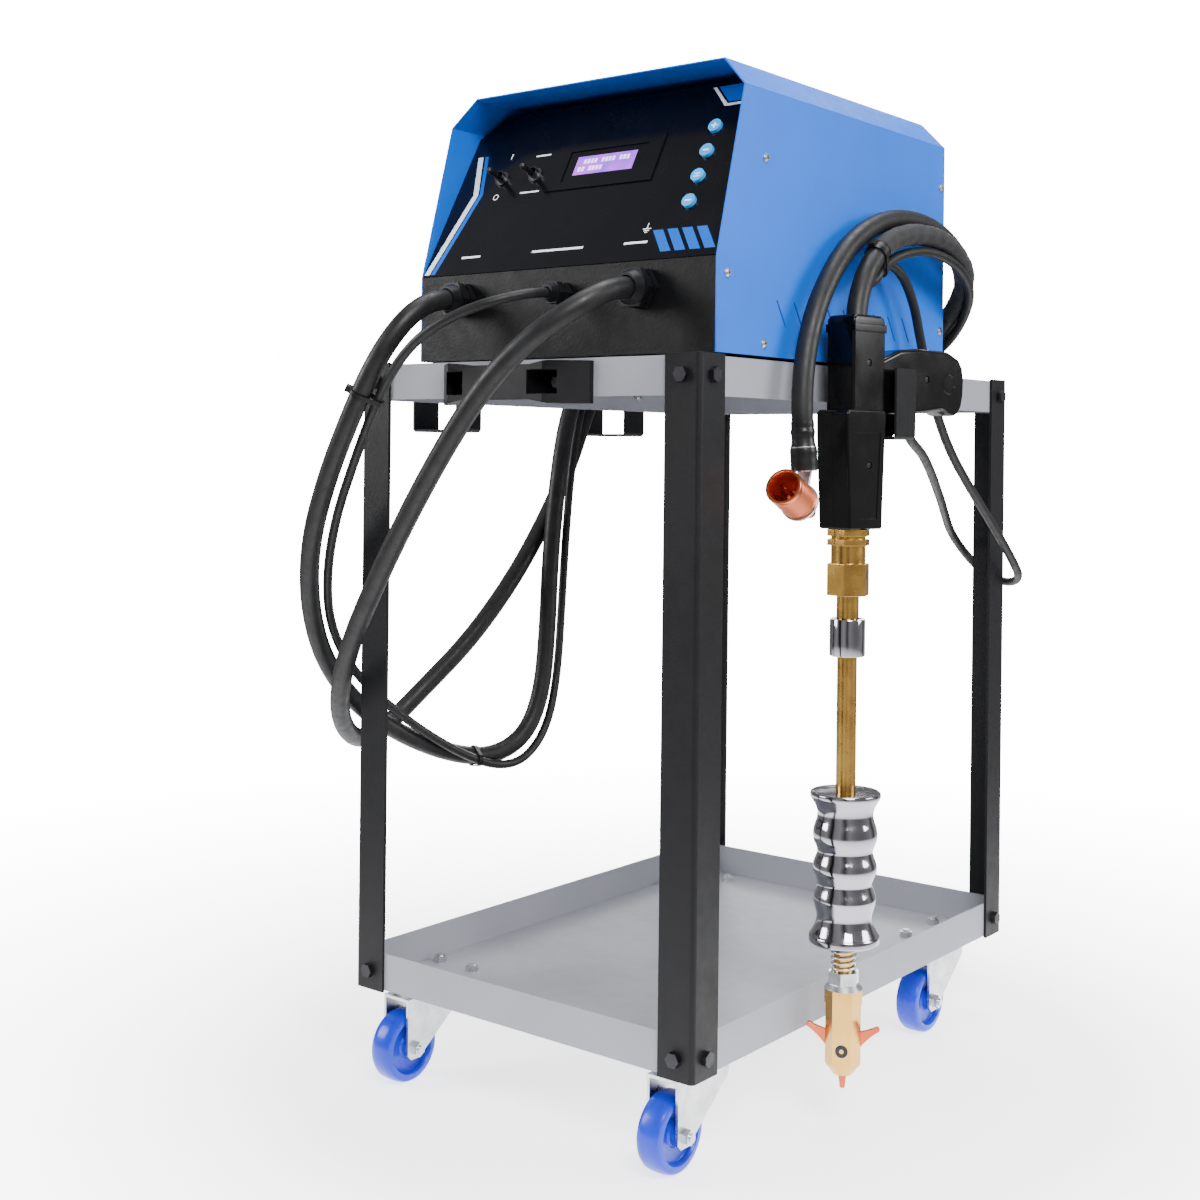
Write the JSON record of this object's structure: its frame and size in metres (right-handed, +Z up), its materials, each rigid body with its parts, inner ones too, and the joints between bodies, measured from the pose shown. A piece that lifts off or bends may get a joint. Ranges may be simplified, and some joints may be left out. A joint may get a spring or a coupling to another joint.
{
  "type": "spot welder",
  "caption": "Dent-pulling spot welder: power unit on a two-tray trolley with swivel casters, a hanging welding gun with slide hammer and star tip, and an earth clamp.",
  "frame": {"origin": "on the floor, under the middle of the welder's box measured without its cables", "axes": "+Z up, +Y from the control panel to the back, +X to the right as seen from the front"},
  "size_m": [0.6182, 0.7673, 1.0466],
  "materials": {
    "trolley_paint": "satin powder coat",
    "tray_paint": "satin powder coat, light grey",
    "black_bolt": "black oxide",
    "zinc": "bright zinc plate",
    "caster_plastic": "moulded blue nylon",
    "handle_plastic": "moulded black nylon",
    "cover_paint": "smooth blue powder coat",
    "chassis_paint": "fine-textured black powder coat",
    "foot_rubber": "moulded",
    "panel_film": "printed film",
    "display_glass": "backlit window",
    "switch_metal": "nickel plate",
    "button_plastic": "domed blue caps",
    "board": "solder-masked board",
    "core_steel": "varnished laminations",
    "coil_copper": "varnished copper winding",
    "gland_plastic": "moulded black nylon",
    "cable_rubber": "matt rubber sheath",
    "tie_plastic": "nylon",
    "gun_plastic": "glossy moulded black",
    "brass": "turned",
    "chrome": "polished",
    "copper": "bare copper"
  },
  "bodies": {
    "trolley": {"bottom_tray": "tray_paint", "cable_ties": "tie_plastic", "caster_bolts": "zinc", "caster_plates": "zinc", "chassis": "chassis_paint", "chassis_feet": "foot_rubber", "chuck": "brass", "control_board": "board", "control_panel": "panel_film", "cover": "cover_paint", "cover_screws": "zinc", "display": "display_glass", "earth_base": "zinc", "earth_cable": "cable_rubber", "earth_cup": "copper", "earth_gland": "gland_plastic", "fitting_bolts": "zinc", "front_handle": "handle_plastic", "gun_hook": "trolley_paint", "gun_shell_left": "gun_plastic", "gun_shell_right": "gun_plastic", "hammer_spring": "zinc", "left_back_hook": "trolley_paint", "left_front_hook": "trolley_paint", "lock_nut": "zinc", "main_cable": "cable_rubber", "main_gland": "gland_plastic", "mains_gland": "gland_plastic", "nose_rings": "brass", "post_back_left": "trolley_paint", "post_back_right": "trolley_paint", "post_front_left": "trolley_paint", "post_front_right": "trolley_paint", "pull_rod": "brass", "signal_cable": "cable_rubber", "signal_gland": "gland_plastic", "stop_collar": "chrome", "tip_holder": "brass", "toggle_bodies": "switch_metal", "top_tray": "tray_paint", "transformer_coils": "coil_copper", "transformer_core": "core_steel", "tray_bolts": "black_bolt"},
    "swivel_front_left": {"caster_fork_front_left": "zinc"},
    "wheel_front_left": {"caster_wheel_front_left": "caster_plastic"},
    "swivel_front_right": {"caster_fork_front_right": "zinc"},
    "wheel_front_right": {"caster_wheel_front_right": "caster_plastic"},
    "swivel_back_left": {"caster_fork_back_left": "zinc"},
    "wheel_back_left": {"caster_wheel_back_left": "caster_plastic"},
    "swivel_back_right": {"caster_fork_back_right": "zinc"},
    "wheel_back_right": {"caster_wheel_back_right": "caster_plastic"},
    "power_toggle": {"power_toggle": "switch_metal"},
    "mode_toggle": {"mode_toggle": "switch_metal"},
    "button_enter": {"button_enter": "button_plastic"},
    "button_menu": {"button_menu": "button_plastic"},
    "button_minus": {"button_minus": "button_plastic"},
    "button_plus": {"button_plus": "button_plastic"},
    "gun_trigger": {"gun_trigger": "gun_plastic"},
    "slide_hammer": {"slide_hammer": "chrome"},
    "star_tip": {"star_tip": "copper"}
  },
  "joints": [
    {"name": "caster_swivel_front_left", "type": "hinge", "parent": "trolley", "child": "swivel_front_left", "pos_m": [-0.18013, -0.23415, 0.0905], "axis": [0, 0, 1], "continuous": true},
    {"name": "wheel_spin_front_left", "type": "hinge", "parent": "swivel_front_left", "child": "wheel_front_left", "pos_m": [-0.18013, -0.27915, 0.0375], "axis": [1, 0, 0], "continuous": true},
    {"name": "caster_swivel_front_right", "type": "hinge", "parent": "trolley", "child": "swivel_front_right", "pos_m": [0.16986, -0.23415, 0.0905], "axis": [0, 0, 1], "continuous": true},
    {"name": "wheel_spin_front_right", "type": "hinge", "parent": "swivel_front_right", "child": "wheel_front_right", "pos_m": [0.16986, -0.27915, 0.0375], "axis": [1, 0, 0], "continuous": true},
    {"name": "caster_swivel_back_left", "type": "hinge", "parent": "trolley", "child": "swivel_back_left", "pos_m": [-0.18013, 0.26185, 0.0905], "axis": [0, 0, 1], "continuous": true},
    {"name": "wheel_spin_back_left", "type": "hinge", "parent": "swivel_back_left", "child": "wheel_back_left", "pos_m": [-0.18013, 0.21685, 0.0375], "axis": [1, 0, 0], "continuous": true},
    {"name": "caster_swivel_back_right", "type": "hinge", "parent": "trolley", "child": "swivel_back_right", "pos_m": [0.16986, 0.26185, 0.0905], "axis": [0, 0, 1], "continuous": true},
    {"name": "wheel_spin_back_right", "type": "hinge", "parent": "swivel_back_right", "child": "wheel_back_right", "pos_m": [0.16986, 0.21685, 0.0375], "axis": [1, 0, 0], "continuous": true},
    {"name": "power_toggle_rock", "type": "hinge", "parent": "trolley", "child": "power_toggle", "pos_m": [-0.10114, -0.22386, 0.95721], "axis": [1, 0, 0], "range_deg": [-20, 0]},
    {"name": "mode_toggle_rock", "type": "hinge", "parent": "trolley", "child": "mode_toggle", "pos_m": [-0.05514, -0.22386, 0.95721], "axis": [1, 0, 0], "range_deg": [-20, 0]},
    {"name": "button_enter_press", "type": "slide", "parent": "trolley", "child": "button_enter", "axis": [0, 0.8776, -0.4795], "range_m": [0, 0.0015], "stiffness_N_per_m": 400, "springref_m": -0.001},
    {"name": "button_menu_press", "type": "slide", "parent": "trolley", "child": "button_menu", "axis": [0, 0.8776, -0.4795], "range_m": [0, 0.0015], "stiffness_N_per_m": 400, "springref_m": -0.001},
    {"name": "button_minus_press", "type": "slide", "parent": "trolley", "child": "button_minus", "axis": [0, 0.8776, -0.4795], "range_m": [0, 0.0015], "stiffness_N_per_m": 400, "springref_m": -0.001},
    {"name": "button_plus_press", "type": "slide", "parent": "trolley", "child": "button_plus", "axis": [0, 0.8776, -0.4795], "range_m": [0, 0.0015], "stiffness_N_per_m": 400, "springref_m": -0.001},
    {"name": "trigger_squeeze", "type": "slide", "parent": "trolley", "child": "gun_trigger", "axis": [0, 0, 1], "range_m": [0, 0.004], "stiffness_N_per_m": 500, "springref_m": -0.002},
    {"name": "hammer_slide", "type": "slide", "parent": "trolley", "child": "slide_hammer", "axis": [0, 0, 1], "range_m": [0, 0.133]},
    {"name": "star_turn", "type": "hinge", "parent": "trolley", "child": "star_tip", "pos_m": [0.24937, -0.09915, 0.086], "axis": [0.4321, -0.9018, 0], "continuous": true}
  ]
}
